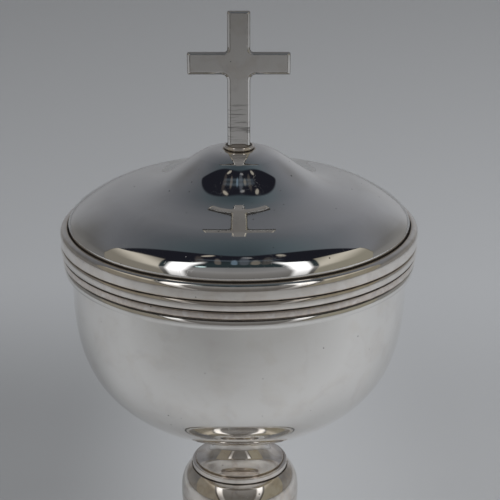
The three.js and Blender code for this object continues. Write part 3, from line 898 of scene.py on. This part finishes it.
def metal(name, colour, film, grooves, haze, scratches, pits, marks=(0.4, 0.0), file_marks=None):
    """A metal finish.

    film is (patch size, cover, depth), grooves (reach, depth of dirt and painted shade, stain), haze
    (polished, handled), scratches (spacing, slant, share, depth), pits (spacing, size, share, depth) and
    marks (spacing, depth).
    file_marks, on a piece finished with a file, is (spacing, lowest, highest, darkness).
    """
    film_patch, film_cover, film_depth = film
    groove_reach, groove_dirt_and_shade, groove_stain = grooves
    polished, handled = haze
    scratch_spacing, slant, scratch_share, scratch_depth = scratches
    pit_spacing, pit_size, pit_share, pit_depth = pits
    mark_spacing, mark_depth = marks

    material, tree, shader = new_material(name)
    position = new_node(tree, "ShaderNodeTexCoord").outputs["Object"]
    groove = new_node(tree, "ShaderNodeAttribute", attribute_name="groove").outputs["Fac"]
    clouds = place_group(tarnish_film, position, patch_size=film_patch, cover=film_cover)
    filled = place_group(groove_tarnish_and_shade, position, groove=groove, reach=groove_reach)
    rough = place_group(handling_haze, position, polished=polished, handled=handled)["haze"]
    lines = place_group(fine_scratches, position, spacing=scratch_spacing, slant=slant, share=scratch_share)
    holes = place_group(tiny_pits, position, spacing=pit_spacing, pit_size=pit_size, share=pit_share)
    rings = place_group(turning_marks, position, spacing=mark_spacing)["height"]

    cloud_share = product(clouds["mask"], film_depth)
    dirt_and_shade_share = product(filled["mask"], groove_dirt_and_shade)
    stain_share = product(filled["stain"], groove_stain)
    pit_shade = product(holes["mask"], PIT_DARKNESS)
    tint = blend_colour(cloud_share, colour, clouds["tone"], "MULTIPLY")
    tint = blend_colour(stain_share, tint, STAIN, "MULTIPLY")
    tint = blend_colour(pit_shade, tint, DIRT_AND_SHADE)
    # Painted shade: grooves and joints darkened towards black, along with their dirt.
    tint = blend_colour(dirt_and_shade_share, tint, DIRT_AND_SHADE)
    if file_marks:
        *strokes_at, stroke_darkness = file_marks
        strokes = product(file_marks_share(position, *strokes_at), stroke_darkness)
        tint = blend_colour(strokes, tint, DIRT_AND_SHADE)
    fill(shader.inputs["Base Color"], tint)

    rough = calc("MULTIPLY_ADD", cloud_share, FILM_ROUGHNESS, rough)
    rough = calc("MULTIPLY_ADD", lines["mask"], SCRATCH_ROUGHNESS, rough)
    rough = calc("MULTIPLY_ADD", dirt_and_shade_share, DIRT_AND_SHADE_ROUGHNESS, rough)
    fill(shader.inputs["Roughness"], rough)
    fill(shader.inputs["Metallic"], calc("MULTIPLY_ADD", dirt_and_shade_share, -DIRT_AND_SHADE_DULLNESS, 1.0))

    height = product(lines["height"], scratch_depth)
    height = calc("MULTIPLY_ADD", holes["height"], pit_depth, height)
    height = calc("MULTIPLY_ADD", rings, mark_depth, height)
    relief = new_node(tree, "ShaderNodeBump")
    relief.inputs["Distance"].default_value = MM
    fill(relief.inputs["Height"], height)
    fill(shader.inputs["Normal"], relief.outputs[0])
    return material


dome_silver = metal(
    "dome_silver", (0.89, 0.88, 0.87), film=(14, 0.35, 0.1), grooves=(0.3, 0.95, 0.85),
    haze=(0.028, 0.045), scratches=(3, 0.4, 0.42, 0.0006), pits=(3, 0.26, 0.5, 0.01))
cross_silver = metal(
    "cross_silver", (0.77, 0.76, 0.745), film=(6, 0.4, 0.2), grooves=(0.5, 0.85, 0.25),
    haze=(0.03, 0.07), scratches=(1.3, 0.15, 0.5, 0.002), pits=(3, 0.3, 0.22, 0.01),
    file_marks=(0.9, CROSS_BASE + 2, CROSS_BASE + 13, 0.6))
band_silver = metal(
    "band_silver", (0.88, 0.845, 0.805), film=(5, 0.5, 0.2), grooves=(0.33, 1.0, 0.85),
    haze=(0.03, 0.07), scratches=(2, 1.2, 0.45, 0.002), pits=(3, 0.3, 0.3, 0.01))
lip_silver = metal(
    "lip_silver", (0.89, 0.85, 0.82), film=(2.2, 0.75, 0.42), grooves=(0.38, 1.0, 0.8),
    haze=(0.05, 0.12), scratches=(2, 1.2, 0.45, 0.002), pits=(2.5, 0.26, 0.35, 0.01))
bowl_silver = metal(
    "bowl_silver", (0.92, 0.905, 0.88), film=(8, 0.42, 0.14), grooves=(0.5, 0.9, 0.5),
    haze=(0.04, 0.075), scratches=(3, 0.9, 0.42, 0.0008), pits=(3.4, 0.28, 0.3, 0.01))
stem_silver = metal(
    "stem_silver", (0.88, 0.835, 0.785), film=(4, 0.5, 0.35), grooves=(0.42, 0.95, 0.7),
    haze=(0.03, 0.07), scratches=(2, 0.7, 0.42, 0.0015), pits=(3, 0.3, 0.2, 0.01))
foot_silver = metal(
    "foot_silver", (0.88, 0.855, 0.825), film=(12, 0.5, 0.25), grooves=(0.5, 0.95, 0.6),
    haze=(0.04, 0.1), scratches=(2.5, 1.7, 0.5, 0.002), pits=(4, 0.3, 0.2, 0.01))
plain_silver = metal(
    "plain_silver", (0.62, 0.6, 0.57), film=(8, 0.6, 0.45), grooves=(0.5, 0.8, 0.5),
    haze=(0.26, 0.4), scratches=(1.5, 0.3, 0.5, 0.01), pits=(2.5, 0.3, 0.3, 0.03), marks=(0.4, 0.02))
steel = metal(
    "steel", (0.42, 0.41, 0.4), film=(4, 0.5, 0.6), grooves=(0.5, 0.8, 0.5),
    haze=(0.22, 0.4), scratches=(1.2, 1.4, 0.5, 0.01), pits=(1.5, 0.3, 0.3, 0.03), marks=(0.3, 0.01))
gilding = metal(
    "gilding", (0.9, 0.66, 0.33), film=(10, 0.4, 0.3), grooves=(0.5, 0.8, 0.5),
    haze=(0.1, 0.2), scratches=(2, 0.8, 0.5, 0.006), pits=(4, 0.35, 0.25, 0.02), marks=(0.5, 0.01))


# Putting the pieces in place


def add_piece(thing, body, slot, *nodes):
    """Puts a piece in the body that it moves with and hides the CAD node that it stands in for; its slot is
    not used.
    """
    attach(thing, body)
    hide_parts(*nodes)


def turned(name, outline, node, body, finishes, rounding=0.25, longest=1.0, segments=160,
           lined=(0, 0), slot="polished_silver"):
    """A turned piece with its corners softened by the given rounding."""
    shape = walk(soften(outline, rounding), longest)
    add_piece(turn(name, shape, finishes, segments, lined=lined), body, slot, node)


def sheet_piece(name, face, steps, wall, node, body, finishes):
    """A piece spun from sheet, its lining in the second finish."""
    outer = face(steps)
    inner = inset(face(max(2, steps // 2)), wall)[::-1]
    turned(name, outer + inner, node, body, finishes, lined=(-1, 1))


# Cover
sheet_piece("dome", dome_face, 10, DOME_SHEET, "cover_dome", "cover", [dome_silver, gilding])
turned("upper_band", upper_band_outline(), "cover_upper_band", "cover", [band_silver], 0.2, 0.4)
turned("bead", bead_outline(), "cover_bead", "cover", [band_silver], 0.12, 0.4)
turned("lower_band", lower_band_outline(), "cover_lower_band", "cover", [lip_silver], 0.25, 0.4)
turned("bezel", bezel_outline(), "cover_bezel", "cover", [gilding], 0.3, slot="gilt")
turned("seat", plate_ring(0, SEAT_RADIUS, CROWN_TOP, CROSS_BASE - CROWN_TOP), "cross_seat", "cover",
       [stem_silver], 0.4, 0.3, 96)
add_piece(make_cross(cross_silver), "cover", "polished_silver", "cross")
stud_base = CROWN_TOP - STUD_LENGTH
cross_screw = make_screw("cross_screw", STUD_RADIUS, 0.5, 0.2, stud_base, CROWN_TOP, plain_silver)
add_piece(cross_screw, "cover", "plain_silver", "cross_stud")
turned("cross_backing_washer", plate_ring(STUD_HOLE, 4.2, CROSS_WASHER_BASE, 0.8), "cross_washer", "cover",
       [plain_silver], 0.15, 0.5, 64, slot="plain_silver")
cross_lock_nut = make_nut("cross_lock_nut", 5.5, 1.6, CROSS_NUT_BASE, 2.4, plain_silver)
add_piece(cross_lock_nut, "cover", "plain_silver", "cross_nut")

# Cup
cup_bowl = turn("cup_bowl", bowl_outline(), [bowl_silver, gilding], closed=False, lined=(1, 1))
add_piece(cup_bowl, "cup", "polished_silver", "bowl")
turned("rim_wire", rim_wire_outline(), "bowl_rim_wire", "cup", [bowl_silver], 0.3, 0.4)
turned("boss", boss_outline(), "bowl_boss", "cup", [plain_silver], 0.2, 1.0, 64, slot="plain_silver")
turned("collar", collar_outline(), "stem_collar", "cup", [stem_silver], 0.2, 0.6, 128)
for ring_name, base, node in (("upper_ring", UPPER_RING_BASE, "knop_ring_upper"),
                              ("lower_ring", LOWER_RING_BASE, "knop_ring_lower")):
    ring_outline = plate_ring(ROD_HOLE, KNOP_RING_RADIUS, base, KNOP_RING_HEIGHT)
    turned(ring_name, ring_outline, node, "cup", [stem_silver], 0.35, 0.5, 128)
turned("knop_top", knop_half_outline(1), "knop_upper_half", "cup", [stem_silver], 0.1, 1.0, 128)
turned("knop_bottom", knop_half_outline(-1), "knop_lower_half", "cup", [stem_silver], 0.1, 1.0, 128)
turned("stem", stem_outline(), "lower_stem", "cup", [stem_silver], 0.2, 0.8, 128)
turned("foot_ring", foot_ring_outline(), "stem_foot_ring", "cup", [stem_silver], 0.12, 0.6, 128)
sheet_piece("foot_sheet", foot_face, 24, FOOT_SHEET, "foot", "cup", [foot_silver, plain_silver])
turned("foot_rim", plate_ring(FOOT_RIM_BORE, FOOT_RIM_RADIUS, 0, FOOT_RIM_TOP), "foot_rim_moulding", "cup",
       [foot_silver], 1.1, 0.6)
stem_rod = make_screw("stem_rod", ROD_RADIUS, 1.0, 0.4, ROD_BASE, ROD_TOP, steel, ROD_THREAD_TOP)
add_piece(stem_rod, "cup", "steel", "tie_rod")
turned("foot_backing_washer", plate_ring(ROD_HOLE, 8.4, FOOT_WASHER_BASE, 1.2), "foot_washer", "cup",
       [plain_silver], 0.2, 0.8, 96, slot="plain_silver")
stem_nut = make_nut("stem_nut", 10.0, 3.1, FOOT_NUT_BASE, 5.2, steel)
add_piece(stem_nut, "cup", "steel", "foot_nut")

# Floor, in metres. It is open under the foot, so that the foot's underside gets light.
FLOOR_HOLE = 0.042
FLOOR_RADIUS = 3.5
FLOOR_SEGMENTS = 96

# The floor's colour from front to back, painted lighter and darker in place of light and shade, as (share of
# the way, colour)
FLOOR_FRONT = -1.2
FLOOR_BACK = 1.6
FLOOR_LIGHT_AND_SHADE = [
    (0.0, (0.33, 0.32, 0.31)), (0.2, (0.46, 0.45, 0.445)), (0.3, (0.47, 0.465, 0.46)),
    (0.4, (0.7, 0.7, 0.705)), (0.55, (0.61, 0.615, 0.63)), (0.7, (0.558, 0.563, 0.577)),
    (0.85, (0.515, 0.52, 0.535)), (1.0, (0.57, 0.57, 0.58)),
]

# Painted shadows, darker patches left and right of the foot, as (start, full, fading, end, darkness), from
# the foot outwards
FLOOR_PAINTED_SHADOWS = [(0.0, -0.085, -0.12, -0.36, 0.4), (0.01, 0.1, 0.16, 0.3, 0.18)]


def floor_ring():
    """A level sheet with a round hole."""
    work = bmesh.new()
    hole = ring_of_verts(work, [FLOOR_HOLE / MM] * FLOOR_SEGMENTS, 0)
    edge = ring_of_verts(work, [FLOOR_RADIUS / MM] * FLOOR_SEGMENTS, 0)
    join_rows(work, edge, hole)
    return work


def floor_paper():
    """Matt paper with painted light and shade from front to back and from left to right, painted shadows
    beside the foot, and see-through from below.
    """
    paper, tree, shader = new_material("floor_paper")
    shader.inputs["Roughness"].default_value = 0.9
    x, y = axes(new_node(tree, "ShaderNodeNewGeometry").outputs["Position"])[:2]
    # Painted light and shade: lighter just in front of the foot, darker far in front and to the left.
    depth_shade = shades(ease(y, FLOOR_FRONT, FLOOR_BACK, kind="LINEAR"), FLOOR_LIGHT_AND_SHADE)
    breadth = calc("MAXIMUM", calc("ADD", y, 0.7), 0.45)
    side_shade = ease(calc("DIVIDE", x, breadth), -0.3, 0.3, 0.8, 0.98)
    beside_foot = product(ease(y, 0.4, 0.2), ease(y, 0.0, 0.15))
    # Painted shadows: the paper darkened in patches beside the foot.
    for start, full, fading, end, darkness in FLOOR_PAINTED_SHADOWS:
        patch = product(ease(x, start, full), ease(x, end, fading), beside_foot)
        side_shade = product(side_shade, calc("MULTIPLY_ADD", patch, -darkness, 1.0))
    tint = blend_colour(1.0, depth_shade, side_shade, "MULTIPLY")
    fill(shader.inputs["Base Color"], tint)

    from_below = new_node(tree, "ShaderNodeNewGeometry").outputs["Backfacing"]
    fill(shader.inputs["Alpha"], calc("SUBTRACT", 1.0, from_below))
    return paper


floor = put_object("floor", floor_ring(), [floor_paper()])

# The studio that the metal mirrors, a colour for every direction
world = bpy.data.worlds.new("studio")
bpy.context.scene.world = world
world.use_nodes = True
sky = world.node_tree
east, north, rise = axes(new_node(sky, "ShaderNodeTexCoord").outputs["Generated"])
aside = calc("ABSOLUTE", east)
elevation = calc("DEGREES", calc("ARCSINE", rise))

# Coordinates on a ceiling one unit above the object: to the right, and towards the back
above = calc("MAXIMUM", rise, 0.02)
across = calc("DIVIDE", east, above)
along = calc("DIVIDE", north, above)

# The colours of the walls, as (degrees above the horizon, colour), and the limits of their ramp
LOWEST = -30.0
HIGHEST = 90.0
BACK_WALL = [
    (-25, (0.235, 0.24, 0.25)), (4, (0.262, 0.266, 0.276)), (18, (0.221, 0.226, 0.238)),
    (30, (0.162, 0.166, 0.178)), (42, (0.122, 0.127, 0.139)), (55, (0.086, 0.094, 0.105)),
    (66, (0.064, 0.08, 0.09)), (80, (0.044, 0.06, 0.07)),
]
FRONT_WALL = [
    (-25, (0.2, 0.19, 0.18)), (0, (0.125, 0.118, 0.11)), (22, (0.125, 0.121, 0.116)),
    (40, (0.17, 0.165, 0.16)), (60, (0.23, 0.227, 0.225)), (76, (0.17, 0.172, 0.175)),
]

# Bright patches overhead, as (colour, across, along, half breadth, half depth, strength)
BRIGHT_PATCHES = [
    ((0.35, 0.32, 0.27), -0.18, 0.115, 0.04, 0.014, 1),
    ((0.3, 0.3, 0.3), 0.045, 0.07, 0.03, 0.01, 0.8),
    ((0.3, 0.28, 0.24), 0.24, 0.135, 0.03, 0.02, 1),
    ((0.6, 0.78, 0.78), -0.285, -0.2, 0.045, 0.03, 1),
    ((0.2, 0.28, 0.36), -0.03, -0.02, 0.02, 0.05, 0.5),
    ((0.2, 0.18, 0.15), 0.1, -0.02, 0.03, 0.05, 0.7),
    ((0.16, 0.14, 0.12), -0.13, 0.0, 0.02, 0.06, 0.6),
    ((0.11, 0.12, 0.14), 0.03, 0.0, 0.03, 0.08, 0.5),
    ((0.1, 0.09, 0.08), 0.17, 0.01, 0.03, 0.08, 0.5),
    ((0.07, 0.06, 0.055), -0.24, 0.02, 0.03, 0.1, 0.6),
]


def plane_side(*normal):
    """How far a direction lies past a plane through the object, the left side mirrored onto the right."""
    length = math.hypot(*normal)
    total = product(aside, normal[0] / length)
    for part, weight in ((north, normal[1]), (rise, normal[2])):
        total = calc("MULTIPLY_ADD", part, weight / length, total)
    return total


def wall_shades(stops):
    """A wall's colour by elevation, from (degrees, colour) stops."""
    share = ease(elevation, LOWEST, HIGHEST, kind="LINEAR")
    span = HIGHEST - LOWEST
    return shades(share, [((degrees - LOWEST) / span, colour) for degrees, colour in stops])


def walls():
    """The walls in front and behind, the back one lighter to the right, both dimmer low at the sides."""
    front_share = ease(plane_side(0, -1, -0.1), -0.12, 0.12)
    lighter = ease(east, 0.0, 0.3, 1.0, 1.35)
    back_wall = blend_colour(1.0, wall_shades(BACK_WALL), lighter, "MULTIPLY")
    studio = blend_colour(front_share, back_wall, wall_shades(FRONT_WALL))
    low_side = product(ease(aside, 0.38, 0.66), ease(elevation, 44.0, 24.0))
    return blend_colour(low_side, studio, (0.61, 0.59, 0.55), "MULTIPLY")


def opening(studio):
    """A dark opening overhead, its back edge a shallow vee."""
    vee = calc("SQRT", calc("MULTIPLY_ADD", product(across, across), 0.4, 0.013))
    vee = calc("MINIMUM", vee, 0.57)
    before_vee = ease(calc("SUBTRACT", vee, along), 0.0, 0.025)
    gap = product(before_vee, ease(along, -0.26, -0.2), ease(rise, 0.3, 0.35))
    to_front = ease(along, 0.06, -0.04)
    gap_colour = blend_colour(to_front, (0.011, 0.0115, 0.0165), (0.022, 0.032, 0.035))
    return blend_colour(gap, studio, gap_colour)


def bright_patch(studio, colour, x, y, half_x, half_y, strength):
    """A soft oval of light on the ceiling."""
    off_x = calc("DIVIDE", calc("SUBTRACT", across, x), half_x)
    off_y = calc("DIVIDE", calc("SUBTRACT", along, y), half_y)
    away = calc("ADD", calc("POWER", off_x, 2.0), calc("POWER", off_y, 2.0))
    share = product(ease(away, 1.5, 0.5), strength)
    return blend_colour(share, studio, colour)


def faint_arc(studio):
    """A faint blue arc across the opening."""
    arc_line = calc("MULTIPLY_ADD", calc("POWER", across, 2.0), 0.8, 0.015)
    off_arc = calc("ABSOLUTE", calc("SUBTRACT", along, arc_line))
    ends = ease(calc("ABSOLUTE", across), 0.28, 0.22)
    arc = product(ease(off_arc, 0.014, 0.006), ends, ease(rise, 0.3, 0.35, 0.0, 0.12))
    return blend_colour(arc, studio, (0.3, 0.38, 0.45))


def side_walls(studio):
    """A cream wall on each side, lightest in the middle, with a bright rim in front of it."""
    past_rim = plane_side(1, 0.81, -0.577)
    region = calc("MINIMUM", plane_side(1, -0.97, -0.356), past_rim)
    region = calc("MINIMUM", plane_side(0, -1, 0.55), region)
    to_right = ease(east, -0.01, 0.01)
    cream = blend_colour(to_right, (0.2, 0.185, 0.155), (0.24, 0.225, 0.18))
    off_middle = plane_side(1, 0, -0.75)
    lightest = product(ease(off_middle, -0.2, 0.0), ease(off_middle, 0.25, 0.0), 0.8)
    cream = blend_colour(lightest, cream, (0.6, 0.56, 0.48))
    studio = blend_colour(ease(region, -0.008, 0.008), studio, cream)
    rim = product(ease(past_rim, -0.27, -0.2), ease(past_rim, -0.04, -0.09),
                  ease(plane_side(0, -1, 0.03), 0.0, 0.03), ease(elevation, 10.0, 55.0, 0.15, 1.0))
    return blend_colour(rim, studio, (1.35, 1.35, 1.35))


studio = opening(walls())
for patch in BRIGHT_PATCHES:
    studio = bright_patch(studio, *patch)
studio = side_walls(faint_arc(studio))
seen_straight = new_node(sky, "ShaderNodeLightPath").outputs["Is Camera Ray"]
studio = blend_colour(seen_straight, studio, (0.27, 0.27, 0.28))
fill(sky.nodes["Background"].inputs["Color"], studio)


def hang_lamp(name, energy, size, place):
    """A square soft light that shines straight down and isn't mirrored in the metal."""
    data = bpy.data.lights.new(name, "AREA")
    data.energy = energy
    data.size = size
    data.color = (0.92, 0.955, 1.0)
    lamp = bpy.data.objects.new(name, data)
    bpy.context.scene.collection.objects.link(lamp)
    lamp.location = place
    lamp.visible_glossy = False


hang_lamp("main_lamp", 8.3, 1.2, (0.5, -0.2, 1.4))
hang_lamp("left_lamp", 5.7, 1.2, (-0.8, -0.1, 1.4))
hang_lamp("back_lamp", 8.0, 2.0, (0.1, 2.6, 1.5))

# Camera, looking to the back and down by the tilt in degrees
CAMERA_TILT = 20.23
camera_data = bpy.data.cameras.new("camera")
camera_data.sensor_width = 36
camera_data.lens = 115.2
camera = bpy.data.objects.new("camera", camera_data)
bpy.context.scene.collection.objects.link(camera)
camera.location = (0.0033, -0.4594, 0.32875)
camera.rotation_euler = (math.radians(90 - CAMERA_TILT), 0, 0)
bpy.context.scene.camera = camera
bpy.context.scene.view_settings.view_transform = "Standard"
